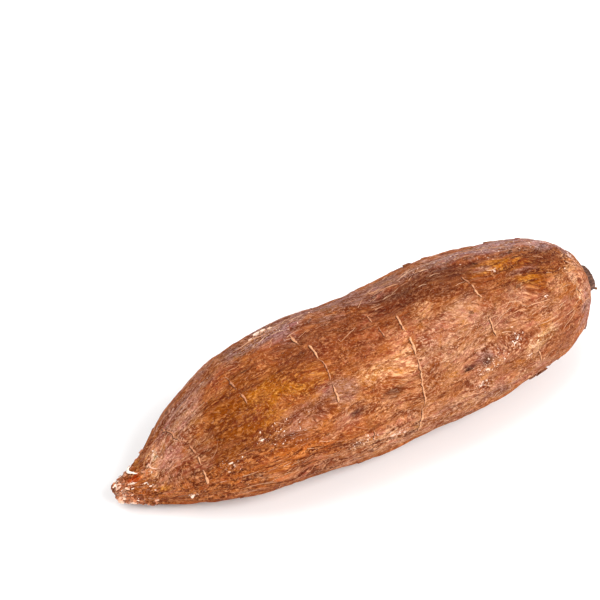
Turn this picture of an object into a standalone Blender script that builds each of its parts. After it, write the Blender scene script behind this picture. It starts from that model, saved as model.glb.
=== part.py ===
"""A harvested cassava root, grown in one piece and lying on its side.

The swollen body is a sphere primitive whose rings are moved onto the root's
sections. Scars, flakes, the woody stub of the neck and the torn thin end are
fused to it with one Boolean union. Sizes are in millimetres until a vertex is
placed. +X runs from the thin snapped end to the stem end, +Z is up, and the
root lies on a narrow flat spot at z = 0.
"""
import math
import random

import bmesh
import bpy
import numpy as np
from mathutils import Matrix, Vector, noise

MM = 0.001

# Sections along the root: station x, radius, sideways drift y, height of the centre z
SECTIONS = [
    (-123.0, 0.0, 0.0, 12.0),
    (-122.0, 3.4, 0.0, 12.0),
    (-117.5, 6.2, -0.4, 12.0),
    (-108.0, 11.4, -1.3, 13.2),
    (-90.0, 22.6, -3.3, 21.8),
    (-65.0, 32.2, -5.9, 30.2),
    (-35.0, 36.1, -6.9, 33.9),
    (0.0, 36.1, -7.6, 33.9),
    (35.0, 37.7, -5.8, 35.5),
    (65.0, 36.4, -3.8, 34.2),
    (90.0, 33.2, -1.1, 32.0),
    (107.0, 27.0, 0.0, 32.2),
    (117.5, 18.0, 0.1, 33.2),
    (123.0, 9.0, 0.0, 33.8),
    (125.0, 0.0, 0.0, 34.0),
]
FLATTENING = 0.94  # height of a section over its width
SETTLE = 0.8  # how far the round underside is cut off where the root rests
ORIGIN_SHIFT = Vector((-4.3, 6.2, -SETTLE))  # brings the middle of the footprint to the origin

# Mesh of the body
SIDES = 88
RINGS = 46

# Relief of the bark
LUMP_HEIGHT = 1.2
LUMP_LENGTH = 55.0
LUMPS_ROUND = 0.9
LUMP_FIELD = Vector((0.0, 3.0, 0.0))  # part of the noise field that the lumps come from
WRINKLE_HEIGHT = 1.5
WRINKLE_LENGTH = 34.0
WRINKLES_ROUND = 5.2
WRINKLE_FIELD = Vector((0.0, 0.0, 5.0))
FULL_RELIEF_RADIUS = 22.0  # thinner sections have less relief

# Shallow dents: station, angle in degrees, radius, depth
DENTS = [
    (32.0, 22.0, 4.0, 1.1),
    (-25.0, 24.0, 4.5, 0.9),
    (-8.0, 30.0, 4.0, 0.8),
    (-58.0, 160.0, 5.0, 1.0),
    (55.0, 205.0, 4.5, 1.1),
    (84.0, 118.0, 4.0, 0.9),
    (10.0, 150.0, 5.0, 1.0),
]

# Raised scars that run round the bark: (station, angle in degrees) at the start, middle and end.
# The angle is 0 on the side towards -Y, 90 on top and 180 on the side towards +Y.
SCARS = [
    ((-97.6, 116.0), (-94.0, 68.0), (-90.5, 8.0)),
    ((-69.3, 98.0), (-68.6, 80.0), (-67.9, 60.0)),
    ((-37.3, 99.0), (-33.0, 76.0), (-33.0, 36.0)),
    ((-2.0, 93.0), (-1.4, 80.0), (-0.6, 67.0)),
    ((9.6, 82.0), (8.6, 32.0), (4.8, -19.0)),
    ((48.2, 82.0), (49.2, 64.0), (48.0, 33.0)),
    ((72.0, 14.0), (73.0, 6.0), (73.8, -4.0)),
    ((105.0, 46.0), (106.3, 34.0), (106.2, 20.0)),
    ((-19.6, 8.0), (-19.8, 0.0), (-19.6, -8.0)),
    ((-84.0, 214.0), (-81.5, 180.0), (-80.0, 148.0)),
    ((-47.0, 232.0), (-49.5, 196.0), (-48.0, 160.0)),
    ((-14.0, 176.0), (-12.0, 150.0), (-13.5, 122.0)),
    ((22.0, 236.0), (25.0, 190.0), (23.5, 140.0)),
    ((61.0, 178.0), (59.0, 152.0), (60.0, 126.0)),
    ((84.0, 240.0), (87.0, 205.0), (86.0, 168.0)),
    ((106.0, 150.0), (107.5, 128.0), (107.0, 104.0)),
    ((-62.0, -34.0), (-61.0, -22.0), (-61.5, -9.0)),
]
SCAR_RADIUS = 0.85
SCAR_SUNK = 0.2
SCAR_STEP = 5.0  # distance between a scar's points
SCAR_END_RADIUS = 0.45  # share of the radius that is left at a scar's ends

# Lifted flakes of bark: station, angle in degrees, length, width
FLAKES = [
    (87.0, 143.0, 5.0, 3.0),
    (37.0, 134.0, 5.0, 3.0),
    (80.0, -34.0, 9.0, 4.0),
    (111.5, -9.0, 5.0, 3.0),
    (-110.5, 118.0, 5.0, 3.6),
    (-104.0, 92.0, 4.6, 3.0),
]
RANDOM_FLAKES = 12
FLAKE_THICKNESS = 1.1
FLAKE_TILT = 0.22
FLAKE_CORNERS = 6

# Stub of the woody neck at the stem end
STUB_ANCHOR = Vector((124.6, -1.6, 33.2))
STUB_AXIS = Vector((0.93, -0.10, 0.36))
STUB_LENGTH = 8.0
STUB_BASE_RADIUS = 7.0
STUB_END_RADIUS = 6.0
STUB_OVAL = 0.92  # its width over its height
STUB_SIDES = 14
STUB_BARK = 1.4  # width of the rim round the pith
STUB_RIM_DROP = 0.8  # depth of the pith inside the rim
PEG_LENGTH = 4.0
PEG_RADIUS = 0.9
PEG_SIDES = 6
PEG_LEAN = 0.5
PEG_PLACE = (-0.25, -0.86)  # on the stub's end, in shares of its radius

# Torn thin end
TORN_CENTRE = Vector((-119.8, 0.0, 12.0))
TORN_AXIS = Vector((-1.0, 0.0, -0.12))
TORN_LENGTH = 5.0
TORN_RADIUS = 4.2
TORN_SIDES = 12
TORN_RIM = 1.3
TORN_HOLLOW = 1.0
SPLINTERS = 7
SPLINTER_RADIUS = 1.1
SPLINTER_LENGTH = 4.6
SPLINTER_SIDES = 5
SPLINTER_RING = 0.84  # radius of the ring of splinters over that of the torn face

BARK_COLOUR = (0.30, 0.115, 0.045, 1.0)
BARK_ROUGHNESS = 0.72
SEED = 11


def clear_scene():
    """Remove whatever the scene holds."""
    for item in list(bpy.data.objects):
        bpy.data.objects.remove(item, do_unlink=True)


def new_collection(name):
    """Return an empty collection linked to the scene."""
    collection = bpy.data.collections.new(name)
    bpy.context.scene.collection.children.link(collection)
    return collection


def new_object(name, shape, collection):
    """Turn a bmesh in millimetres into a named object in metres."""
    bmesh.ops.scale(shape, vec=(MM, MM, MM), verts=shape.verts)
    mesh = bpy.data.meshes.new(name)
    shape.to_mesh(mesh)
    shape.free()
    item = bpy.data.objects.new(name, mesh)
    collection.objects.link(item)
    return item


def curve_between(before, start, end, after, count):
    """Points of a centripetal Catmull-Rom curve from start up to end."""
    knots = [0.0]
    for first, second in ((before, start), (start, end), (end, after)):
        knots.append(knots[-1] + math.sqrt(np.linalg.norm(second - first)))
    t = np.linspace(knots[1], knots[2], count, endpoint=False)[:, None]

    def blend(p, q, low, high):
        return ((high - t) * p + (t - low) * q) / (high - low)

    a = blend(before, start, knots[0], knots[1])
    b = blend(start, end, knots[1], knots[2])
    c = blend(end, after, knots[2], knots[3])
    return blend(blend(a, b, knots[0], knots[2]), blend(b, c, knots[1], knots[3]), knots[1], knots[2])


def smooth_sections(rows, count_between=24):
    """Run a smooth curve through the sections, crossing the root's axis squarely at both ends."""
    rows = np.array(rows)
    mirror = np.array((1.0, -1.0, 1.0, 1.0))
    padded = np.vstack([rows[1] * mirror, rows, rows[-2] * mirror])
    pieces = [curve_between(*padded[i:i + 4], count_between) for i in range(len(rows) - 1)]
    curve = np.vstack(pieces + [rows[-1]])
    steps = np.linalg.norm(np.diff(curve[:, :2], axis=0), axis=1)
    travelled = np.concatenate([[0.0], np.cumsum(steps)])
    return travelled / travelled[-1], curve


TRAVEL, CURVE = smooth_sections(SECTIONS)


def section_at(travel):
    """Station, radius and centre of the section at a share of the way along the outline."""
    return [float(np.interp(travel, TRAVEL, column)) for column in CURVE.T]


def travel_at(station):
    """Share of the way along the outline where the root has this station."""
    return float(np.interp(station, CURVE[:, 0], TRAVEL))


def relief(station, radius, angle):
    """Height of the bark above the smooth section: lumps, lengthwise wrinkles and dents."""
    across = Vector((0.0, math.cos(angle), math.sin(angle)))
    along = Vector((station, 0.0, 0.0))
    lump = noise.noise(LUMP_FIELD + along / LUMP_LENGTH + across * LUMPS_ROUND)
    wrinkle = noise.noise(WRINKLE_FIELD + along / WRINKLE_LENGTH + across * WRINKLES_ROUND)
    height = LUMP_HEIGHT * lump + WRINKLE_HEIGHT * wrinkle
    for dent_station, dent_angle, dent_radius, depth in DENTS:
        turn = math.remainder(angle - math.radians(dent_angle), math.tau) * radius
        distance = math.hypot(station - dent_station, turn)
        height -= depth * math.exp(-(distance / dent_radius) ** 2)
    return height * min(1.0, radius / FULL_RELIEF_RADIUS)


def skin_point(travel, angle, lift=0.0):
    """Point on the bark, or lift millimetres above it."""
    station, radius, side, height = section_at(travel)
    reach = radius + relief(station, radius, angle) + lift
    return Vector((
        station,
        side - reach * math.cos(angle),
        height + FLATTENING * reach * math.sin(angle),
    )) + ORIGIN_SHIFT


def skin_frame(travel, angle):
    """Matrix at a point of the bark: local X lengthwise, local Z out of the bark."""
    step = 0.004
    point = skin_point(travel, angle)
    ahead = min(travel + step, 1.0)
    behind = max(travel - step, 0.0)
    along = (skin_point(ahead, angle) - skin_point(behind, angle)).normalized()
    around = (skin_point(travel, angle + 0.05) - skin_point(travel, angle - 0.05)).normalized()
    outward = along.cross(around).normalized()
    centre = Vector((point.x, section_at(travel)[2], section_at(travel)[3])) + ORIGIN_SHIFT
    if outward.dot(point - centre) < 0:
        outward.negate()
    return frame_from(point, outward, along)


def frame_from(origin, up, along):
    """Matrix with local Z along up and local X as close to along as that allows."""
    z_axis = up.normalized()
    y_axis = z_axis.cross(along).normalized()
    x_axis = y_axis.cross(z_axis)
    return Matrix.Translation(origin) @ Matrix((x_axis, y_axis, z_axis)).transposed().to_4x4()


def make_body(collection):
    """The swollen root: a sphere whose rings are moved onto the sections."""
    shape = bmesh.new()
    bmesh.ops.create_uvsphere(shape, u_segments=SIDES, v_segments=RINGS, radius=1.0)
    for vertex in shape.verts:
        polar = math.acos(max(-1.0, min(1.0, vertex.co.z)))
        angle = math.atan2(vertex.co.y, vertex.co.x)
        vertex.co = skin_point(1.0 - polar / math.pi, angle)
        vertex.co.z = max(vertex.co.z, 0.0)
    bmesh.ops.recalc_face_normals(shape, faces=shape.faces)
    return new_object("cassava_root", shape, collection)


def arc_between(start, middle, end):
    """Stations and angles along a scar, a bent line through three points of the bark."""
    ends = np.array([start, middle, end])
    sweep = np.radians(abs(start[1] - end[1])) * section_at(travel_at(middle[0]))[1]
    count = max(5, round(sweep / SCAR_STEP) + 1)
    share = np.linspace(0.0, 1.0, count)
    middle_share = (start[1] - middle[1]) / (start[1] - end[1])
    stations = np.interp(share, [0.0, middle_share, 1.0], ends[:, 0])
    angles = np.radians(start[1] + share * (end[1] - start[1]))
    return list(zip(stations, angles))


def make_scar(name, ends, collection):
    """A raised scar across the bark: a thin bevelled curve sunk into it."""
    points = [skin_point(travel_at(x), angle, -SCAR_SUNK) for x, angle in arc_between(*ends)]
    line = bpy.data.curves.new(name, "CURVE")
    line.dimensions = "3D"
    line.bevel_depth = SCAR_RADIUS * MM
    line.bevel_resolution = 0
    line.use_fill_caps = True
    spline = line.splines.new("POLY")
    spline.points.add(len(points) - 1)
    for index, (target, point) in enumerate(zip(spline.points, points)):
        target.co = (*(point * MM), 1.0)
        target.radius = SCAR_END_RADIUS if index in (0, len(points) - 1) else 1.0
    guide = bpy.data.objects.new(name + "_line", line)
    collection.objects.link(guide)
    depsgraph = bpy.context.evaluated_depsgraph_get()
    mesh = bpy.data.meshes.new_from_object(guide.evaluated_get(depsgraph))
    bpy.data.objects.remove(guide, do_unlink=True)
    weld(mesh)
    collection.objects.link(bpy.data.objects.new(name, mesh))


def weld(mesh, distance=0.00002):
    """Join the points of a mesh that lie in one place, and drop what that leaves flat."""
    shape = bmesh.new()
    shape.from_mesh(mesh)
    bmesh.ops.remove_doubles(shape, verts=shape.verts, dist=distance)
    bmesh.ops.dissolve_degenerate(shape, edges=shape.edges, dist=distance)
    shape.to_mesh(mesh)
    shape.free()


def make_flake(name, row, draw, collection):
    """A thin flake of bark, one edge of it lifted."""
    station, angle, length, width = row
    shape = bmesh.new()
    bmesh.ops.create_cone(
        shape, cap_ends=True, segments=FLAKE_CORNERS, radius1=1.0, radius2=0.8, depth=1.0)
    for vertex in shape.verts:
        spread = draw.uniform(0.78, 1.1)
        vertex.co.x *= spread * length / 2
        vertex.co.y *= spread * width / 2
        vertex.co.z *= FLAKE_THICKNESS
    tilt = Matrix.Rotation(draw.choice((-1, 1)) * FLAKE_TILT, 4, "Y")
    bmesh.ops.transform(
        shape, matrix=skin_frame(travel_at(station), math.radians(angle)) @ tilt, verts=shape.verts)
    new_object(name, shape, collection)


def make_stub(collection):
    """The stub of the woody neck, its pith a little below the rim, with a peg of torn wood."""
    shape = bmesh.new()
    bmesh.ops.create_cone(
        shape, cap_ends=True, segments=STUB_SIDES,
        radius1=STUB_BASE_RADIUS, radius2=STUB_END_RADIUS, depth=STUB_LENGTH)
    for vertex in shape.verts:
        vertex.co.y *= STUB_OVAL
    outer = max(shape.faces, key=lambda face: face.calc_center_median().z)
    bmesh.ops.inset_individual(shape, faces=[outer], thickness=STUB_BARK, depth=-STUB_RIM_DROP)
    place = frame_from(STUB_ANCHOR + ORIGIN_SHIFT, STUB_AXIS, Vector((0.0, 1.0, 0.0)))
    bmesh.ops.transform(shape, matrix=place, verts=shape.verts)
    new_object("stub", shape, collection)

    peg = bmesh.new()
    bmesh.ops.create_cone(
        peg, cap_ends=True, segments=PEG_SIDES,
        radius1=PEG_RADIUS, radius2=0.7 * PEG_RADIUS, depth=PEG_LENGTH)
    lean = Matrix.Rotation(PEG_LEAN, 4, "Y")
    across, down = (share * STUB_END_RADIUS for share in PEG_PLACE)
    spot = Matrix.Translation((across, down, STUB_LENGTH / 2))
    bmesh.ops.transform(peg, matrix=place @ spot @ lean, verts=peg.verts)
    new_object("peg", peg, collection)


def make_torn_end(draw, collection):
    """The snapped thin end: a rough hollow face ringed with splinters of bark."""
    shape = bmesh.new()
    bmesh.ops.create_cone(
        shape, cap_ends=True, segments=TORN_SIDES,
        radius1=TORN_RADIUS, radius2=0.8 * TORN_RADIUS, depth=TORN_LENGTH)
    outer = max(shape.faces, key=lambda face: face.calc_center_median().z)
    rim = list(outer.verts)
    bmesh.ops.inset_individual(shape, faces=[outer], thickness=TORN_RIM, depth=-TORN_HOLLOW)
    for vertex in rim:
        vertex.co.z += draw.uniform(-0.7, 0.9)
    place = frame_from(TORN_CENTRE + ORIGIN_SHIFT, TORN_AXIS, Vector((0.0, 0.0, 1.0)))
    bmesh.ops.transform(shape, matrix=place, verts=shape.verts)
    new_object("torn_face", shape, collection)

    for number in range(SPLINTERS):
        splinter = bmesh.new()
        bmesh.ops.create_cone(
            splinter, cap_ends=True, segments=SPLINTER_SIDES,
            radius1=SPLINTER_RADIUS, radius2=0.35 * SPLINTER_RADIUS, depth=SPLINTER_LENGTH)
        turn = Matrix.Rotation(math.tau * (number + draw.uniform(-0.25, 0.25)) / SPLINTERS, 4, "Z")
        rise = draw.uniform(-0.2, 0.6)
        spot = Matrix.Translation((SPLINTER_RING * TORN_RADIUS, 0.0, rise))
        lean = Matrix.Rotation(draw.uniform(-0.15, 0.30), 4, "Y")
        bmesh.ops.transform(splinter, matrix=place @ turn @ spot @ lean, verts=splinter.verts)
        new_object(f"splinter_{number}", splinter, collection)


def make_details(collection):
    """Everything that stands out of the body and is fused to it."""
    draw = random.Random(SEED)
    for number, ends in enumerate(SCARS):
        make_scar(f"scar_{number}", ends, collection)
    rows = list(FLAKES)
    for _ in range(RANDOM_FLAKES):
        station = draw.uniform(-95.0, 112.0)
        angle = draw.uniform(-35.0, 215.0)
        rows.append((station, angle, draw.uniform(3.0, 4.6), draw.uniform(2.0, 3.0)))
    for number, row in enumerate(rows):
        make_flake(f"flake_{number}", row, draw, collection)
    make_stub(collection)
    make_torn_end(draw, collection)


def fuse(body, details):
    """Join the details to the body with one union, and remove them."""
    union = body.modifiers.new("Fused details", "BOOLEAN")
    union.operation = "UNION"
    union.operand_type = "COLLECTION"
    union.collection = details
    union.solver = "EXACT"
    depsgraph = bpy.context.evaluated_depsgraph_get()
    mesh = bpy.data.meshes.new_from_object(body.evaluated_get(depsgraph))
    body.modifiers.clear()
    body.data = mesh
    for piece in list(details.objects):
        bpy.data.objects.remove(piece, do_unlink=True)
    bpy.data.collections.remove(details)
    weld(mesh)


def bark_material():
    """Dry brown bark."""
    material = bpy.data.materials.new("bark")
    material.use_nodes = True
    shader = material.node_tree.nodes["Principled BSDF"]
    shader.inputs["Base Color"].default_value = BARK_COLOUR
    shader.inputs["Roughness"].default_value = BARK_ROUGHNESS
    shader.inputs["Metallic"].default_value = 0.0
    material.diffuse_color = BARK_COLOUR
    return material


def main():
    """Build the root."""
    clear_scene()
    root = new_collection("cassava")
    details = new_collection("fused details")
    body = make_body(root)
    make_details(details)
    fuse(body, details)
    body.data.materials.clear()
    body.data.materials.append(bark_material())
    body.data.shade_smooth()
    body.data.set_sharp_from_angle(angle=math.radians(50.0))


main()
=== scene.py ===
"""Looks of a harvested cassava root that lies on its side.

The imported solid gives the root's form. A finely wrinkled skin stands for it, and
the scars, flakes, fibres, crumbs, the stub of the woody neck and the torn thin
end are modelled on that skin. Sizes are in millimetres until a mesh is made.
An angle is 0 on the side towards -Y, 90 on top and 180 on the side towards +Y.
"""

import itertools
import math

import bmesh
import bpy
import numpy as np
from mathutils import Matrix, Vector, noise


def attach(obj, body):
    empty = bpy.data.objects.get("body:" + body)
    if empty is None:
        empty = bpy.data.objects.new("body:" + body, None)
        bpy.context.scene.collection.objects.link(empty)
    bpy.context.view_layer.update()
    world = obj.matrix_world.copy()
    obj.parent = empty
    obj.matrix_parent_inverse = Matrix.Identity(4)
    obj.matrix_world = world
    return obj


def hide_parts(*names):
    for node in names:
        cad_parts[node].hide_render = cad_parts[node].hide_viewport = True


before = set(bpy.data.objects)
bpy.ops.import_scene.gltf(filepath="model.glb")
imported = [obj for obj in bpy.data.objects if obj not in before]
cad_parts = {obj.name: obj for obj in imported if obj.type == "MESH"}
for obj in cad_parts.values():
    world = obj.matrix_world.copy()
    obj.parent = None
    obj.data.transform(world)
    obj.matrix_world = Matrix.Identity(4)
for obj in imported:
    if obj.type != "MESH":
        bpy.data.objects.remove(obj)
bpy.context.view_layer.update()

NODE = "cassava_root"
BODY = "root"
MM = 0.001

# Form of the solid: station x, radius, sideways drift y, height of the centre z
SECTIONS = [
    (-123.0, 0.0, 0.0, 12.0),
    (-122.0, 3.4, 0.0, 12.0),
    (-117.5, 6.2, -0.4, 12.0),
    (-108.0, 11.4, -1.3, 13.2),
    (-90.0, 22.6, -3.3, 21.8),
    (-65.0, 32.2, -5.9, 30.2),
    (-35.0, 36.1, -6.9, 33.9),
    (0.0, 36.1, -7.6, 33.9),
    (35.0, 37.7, -5.8, 35.5),
    (65.0, 36.4, -3.8, 34.2),
    (90.0, 33.2, -1.1, 32.0),
    (107.0, 27.0, 0.0, 32.2),
    (117.5, 18.0, 0.1, 33.2),
    (123.0, 9.0, 0.0, 33.8),
    (125.0, 0.0, 0.0, 34.0),
]
FLATTENING = 0.94
CLEAR_OF_FLOOR = 1.4  # lowest height at which bits are put on the skin
ORIGIN_SHIFT = np.array((-4.3, 6.2, -0.8))
GIRTH_RADIUS = 36.0  # radius at which the bark's pattern has its true size
MARK_RADIUS = 6.0  # marks on thinner sections stay as wide as on this one
ENDS = (-121.0, 121.0)  # stations between which bits are put on the skin
FRAME_STEPS = (0.004, 0.03)  # steps along and round the skin that give its directions

# Relief that the solid has too
LUMP_HEIGHT = 1.2
LUMP_LENGTH = 55.0
LUMPS_ROUND = 0.9
LUMP_FIELD = (0.0, 3.0, 0.0)
WRINKLE_HEIGHT = 1.5
WRINKLE_LENGTH = 34.0
WRINKLES_ROUND = 5.2
WRINKLE_FIELD = (0.0, 0.0, 5.0)
FULL_RELIEF_RADIUS = 22.0
DENTS = [
    (32.0, 22.0, 4.0, 1.1),
    (-25.0, 24.0, 4.5, 0.9),
    (-8.0, 30.0, 4.0, 0.8),
    (-58.0, 160.0, 5.0, 1.0),
    (55.0, 205.0, 4.5, 1.1),
    (84.0, 118.0, 4.0, 0.9),
    (10.0, 150.0, 5.0, 1.0),
]

# Fine relief of the skin: height, length along the root, width across it, seed of the noise
FOLDS = (0.85, 42.0, 7.0, 21)
CREASES = (0.5, 15.0, 2.8, 22)
GRAIN = (0.18, 6.0, 1.4, 23)
PLATES = (0.3, 14.0, 6.0, 24)
WARP = (1.4, 22.0, 12.0, 25)
WARP_ALONG = 6.0  # how far that noise pushes along the root
ROUGH_AREAS = (1.0, 40.0, 30.0, 26)
CRUMBLE = (0.9, 3.2, 3.0, 27)
CRUMBLE_STATIONS = (-102.0, -112.0)

# Hollow where a flap of bark has broken off near the thin end: station, angle, radius, depth
TIP_HOLLOW = (-114.8, 76.0, 2.7, 1.5)
TIP_HOLLOW_GIRTH = 8.0  # the root's radius there
TIP_HOLLOW_MARGIN = 1.2  # how far round the hollow no shard lies

# Larger lumps of torn flesh: station, angle, size, paleness
TIP_LUMPS = [
    (-121.5, -40, 3.6, 0.6),
    (-120.5, -62, 3.4, 0.75),
    (-119, -50, 3.2, 0.45),
    (-117, -42, 3, 0.7),
    (-121.8, -10, 3.2, 0.5),
    (-121.8, 30, 3, 0.35),
    (-121.6, 70, 3.2, 0.6),
    (-121.8, 140, 3.4, 0.95),
    (-121.6, 118, 3, 0.85),
    (-120, 200, 3.4, 0.5),
    (-121.5, 240, 3.2, 0.6),
    (-96.1, -9, 3, 0.8),
]

SKIN_SIDES = 410
SKIN_RINGS = 238

# Colours of the bark in even light
BROWN = (178, 100, 48)
RED_BROWN = (150, 76, 36)
WARM_BROWN = (197, 106, 38)
DARK_BROWN = (118, 56, 24)
OCHRE = (151, 75, 2)
GOLD = (196, 116, 12)
TAN = (230, 160, 110)
PALE = (252, 198, 152)
PINK_TAN = (202, 144, 110)
PINK = (208, 144, 116)
MAUVE = (159, 114, 103)
LILAC = (184, 146, 141)
UMBER = (98, 54, 36)
RUST = (206, 80, 4)
CREAM = (238, 214, 190)
CHALK = (248, 198, 156)
FROST = (250, 214, 186)
FURROW = (82, 26, 2)
CRACK = (84, 30, 6)
PIT = (64, 18, 2)
EXPOSURE = np.array((0.82, 0.91, 0.96))
GLOW = (1.7, 1.84, 1.95, 1.0)  # a raised stroke's colour over its stain's

# Seeds of the noise and of the random draws
SEEDS = {
    "stains": 31, "drift": 32, "furrows": 33, "scars": 41, "scar course": 42, "scar width": 43,
    "flakes": 43, "crumbs": 44, "hairs": 45, "shards": 46, "stub": 51, "torn end": 52, "torn flesh": 53,
}

# Stains: colour, station, angle in degrees, half length, half width across, strength. Most are the bark's
# own colour; along the top some are partly painted shade and a painted sheen.
STAINS_SHADE_AND_SHEEN = [
    (PINK_TAN, 55, 30, 66, 34, 0.5),
    (WARM_BROWN, -70, 4, 50, 20, 0.7),
    (RED_BROWN, -55, -34, 60, 8, 0.5),
    (PINK_TAN, 10, -12, 80, 13, 0.85),
    (TAN, 2, 28, 36, 22, 0.22),
    (PINK, -100, 70, 9, 13, 0.95),
    (PINK, -89, 101, 10, 7, 0.9),
    (OCHRE, -72, 54, 24, 22, 1),
    (OCHRE, -90, 36, 12, 8, 0.5),
    (PINK, -92, 88, 9, 7, 0.8),
    (PINK_TAN, -91, 66, 7, 24, 0.4),
    (OCHRE, -42, 72, 16, 10, 0.7),
    (GOLD, -57, 61, 10, 8, 0.6),
    (GOLD, -60, 46, 7, 4, 0.5),
    (GOLD, -42, 58, 12, 7, 0.4),
    (RED_BROWN, -54, 22, 10, 5, 0.5),
    (MAUVE, -30, 43, 7, 6, 0.6),
    (RED_BROWN, 50, 66, 10, 8, 0.75),
    (RED_BROWN, 65, 27, 10, 5, 0.75),
    # Darker along the top: partly the bark's own colour, partly painted shade
    (RED_BROWN, -18, 88, 42, 14, 0.95),
    (RED_BROWN, 36, 92, 44, 13, 0.95),
    (DARK_BROWN, 34, 86, 28, 9, 0.8),
    (DARK_BROWN, 12, 87, 14, 6, 0.5),
    (DARK_BROWN, -28, 86, 30, 6, 0.45),
    (DARK_BROWN, 52, 85, 9, 6, 0.7),
    (RED_BROWN, -14, 77, 14, 8, 0.9),
    (OCHRE, 80, 72, 28, 15, 0.95),
    (UMBER, 96, 84, 14, 7, 0.4),
    (GOLD, 71, 88, 13, 3.6, 0.65),
    (GOLD, 62, 82, 9, 2, 0.7),
    (GOLD, 76.5, 65, 8, 3.6, 0.65),
    (GOLD, 80, 83.5, 9, 3.4, 0.6),
    (OCHRE, 92, 61, 9, 8, 0.7),
    (PINK_TAN, 69, 60, 7, 5, 0.6),
    (TAN, -3, 46, 14, 10, 0.75),
    (RED_BROWN, -12, 66, 12, 6, 0.6),
    (TAN, 22, 75, 6, 5, 0.85),
    (PINK_TAN, 34, 50, 18, 16, 0.5),
    (PINK_TAN, 14, 44, 8, 8, 0.6),
    (PINK_TAN, 110, 44, 6, 7, 0.6),
    (PALE, 82, 23, 6, 3.8, 0.95),
    (PALE, 74.2, 18.2, 7.5, 4.4, 0.95),
    (PALE, 68, 15.5, 5, 3.4, 0.6),
    (GOLD, 78, 29, 6, 1.6, 0.6),
    (TAN, -10, -8, 22, 6, 0.45),
    (RED_BROWN, 11, 6, 9, 8, 0.4),
    (RED_BROWN, -45, -15, 20, 6, 0.6),
    (MAUVE, 50, -15, 9, 6, 0.6),
    (RED_BROWN, -90, 4, 9, 7, 0.5),
    (PINK_TAN, -30, 25, 9, 6, 0.6),
    (BROWN, -70, 26, 10, 5, 0.5),
    (RED_BROWN, 90, 13, 16, 11, 0.6),
    (RED_BROWN, 52, 6, 12, 6, 0.4),
    (TAN, 110, 60, 8, 12, 0.75),
    (LILAC, 112, 8, 8, 14, 0.5),
    (TAN, -106, 92, 6, 7, 0.6),
    (TAN, -107, 56, 3, 5, 0.65),
    (GOLD, -106.3, 20, 3.2, 1.5, 0.8),
    (GOLD, -109, 108, 5, 3, 0.7),
    # Mauve and lilac along the far top edge: partly a dusty film, partly a painted sheen
    (MAUVE, -20, 116, 75, 11, 0.85),
    (MAUVE, 64, 114, 40, 9, 0.8),
    (LILAC, 84, 117, 34, 12, 0.8),
    (DARK_BROWN, 88, 97, 20, 3.5, 0.6),
    (MAUVE, 79, 73.5, 8, 1.8, 0.5),
    (MAUVE, 60, 86, 5, 2, 0.6),
    (RED_BROWN, 57, 76, 8, 4, 0.8),
    (LILAC, 102, 106, 9, 8, 0.8),
    (LILAC, 112, 90, 4, 9, 0.8),
    (PINK, 114, 40, 3, 9, 0.7),
    (PINK, 121.5, 90, 2.6, 60, 0.7),
    (LILAC, -50, 114, 12, 5, 0.6),
    (MAUVE, -48, 34, 13, 7, 0.45),
    (MAUVE, 39, 25, 7, 5, 0.8),
    (UMBER, -25.3, 24, 5, 3, 0.95),
    (UMBER, -5.6, 28.6, 4.8, 2.9, 0.9),
    (UMBER, 40, 21.5, 4.5, 3, 0.8),
    (TAN, 4, 58, 8, 7, 0.5),
    (TAN, 94.6, 52, 6, 4.5, 0.6),
    (DARK_BROWN, 94, 75, 7, 4, 0.5),
    (RED_BROWN, 100, 38, 4, 5, 0.45),
    (UMBER, 33, 22, 7, 2.4, 0.95),
    (UMBER, 30, 97, 30, 5, 0.6),
    (OCHRE, -50, 190, 30, 18, 0.8),
    (GOLD, -40, 182, 12, 8, 0.6),
    (RED_BROWN, 30, 215, 40, 18, 0.6),
    (PINK_TAN, 70, 175, 26, 16, 0.7),
    (GOLD, 5, 168, 16, 9, 0.6),
    (TAN, 48, 196, 12, 8, 0.7),
    (TAN, -12, 208, 14, 8, 0.6),
    (PINK, -75, 150, 16, 10, 0.6),
    (OCHRE, 88, 230, 18, 14, 0.7),
    (WARM_BROWN, -90, 240, 24, 18, 0.6),
    (UMBER, 66, 146, 12, 4, 0.6),
    (UMBER, -24, 228, 10, 4, 0.6),
    (RED_BROWN, 0, 270, 110, 24, 0.5),
    (CREAM, -121.5, 40, 2.5, 30, 0.5),
    (CREAM, -104.5, 89, 1.4, 2.2, 0.7),
    (PALE, 104.6, 50, 4, 4.5, 0.6),
    (PALE, 106, 40, 3, 6, 0.6),
    (RUST, -114.8, 77, 2.8, 2.4, 1),
]
STAIN_RAGGEDNESS = 0.5
STAIN_EDGE = (0.45, 1.25)  # where a stain starts to fade and where it ends, 1 on its oval
RAG_SIZE = (16.0, 7.0, 7.0)  # size of the raggedness along and round the root
DRIFT_SIZE = (45.0, 26.0, 26.0)  # size of the slow drift towards the red brown
DRIFT_MOST = 0.3

# Where the long dark furrows run: station, angle in degrees, half length, half width
FURROWED = [
    (90, 80, 34, 17),
    (30, 98, 40, 9),
    (-75, 0, 45, 18),
    (-30, -12, 60, 9),
    (60, 200, 50, 20),
]
FURROW_RAGGEDNESS = 0.4
FURROW_EDGE = (0.5, 1.2)
LEAST_FURROWED = 0.12

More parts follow.
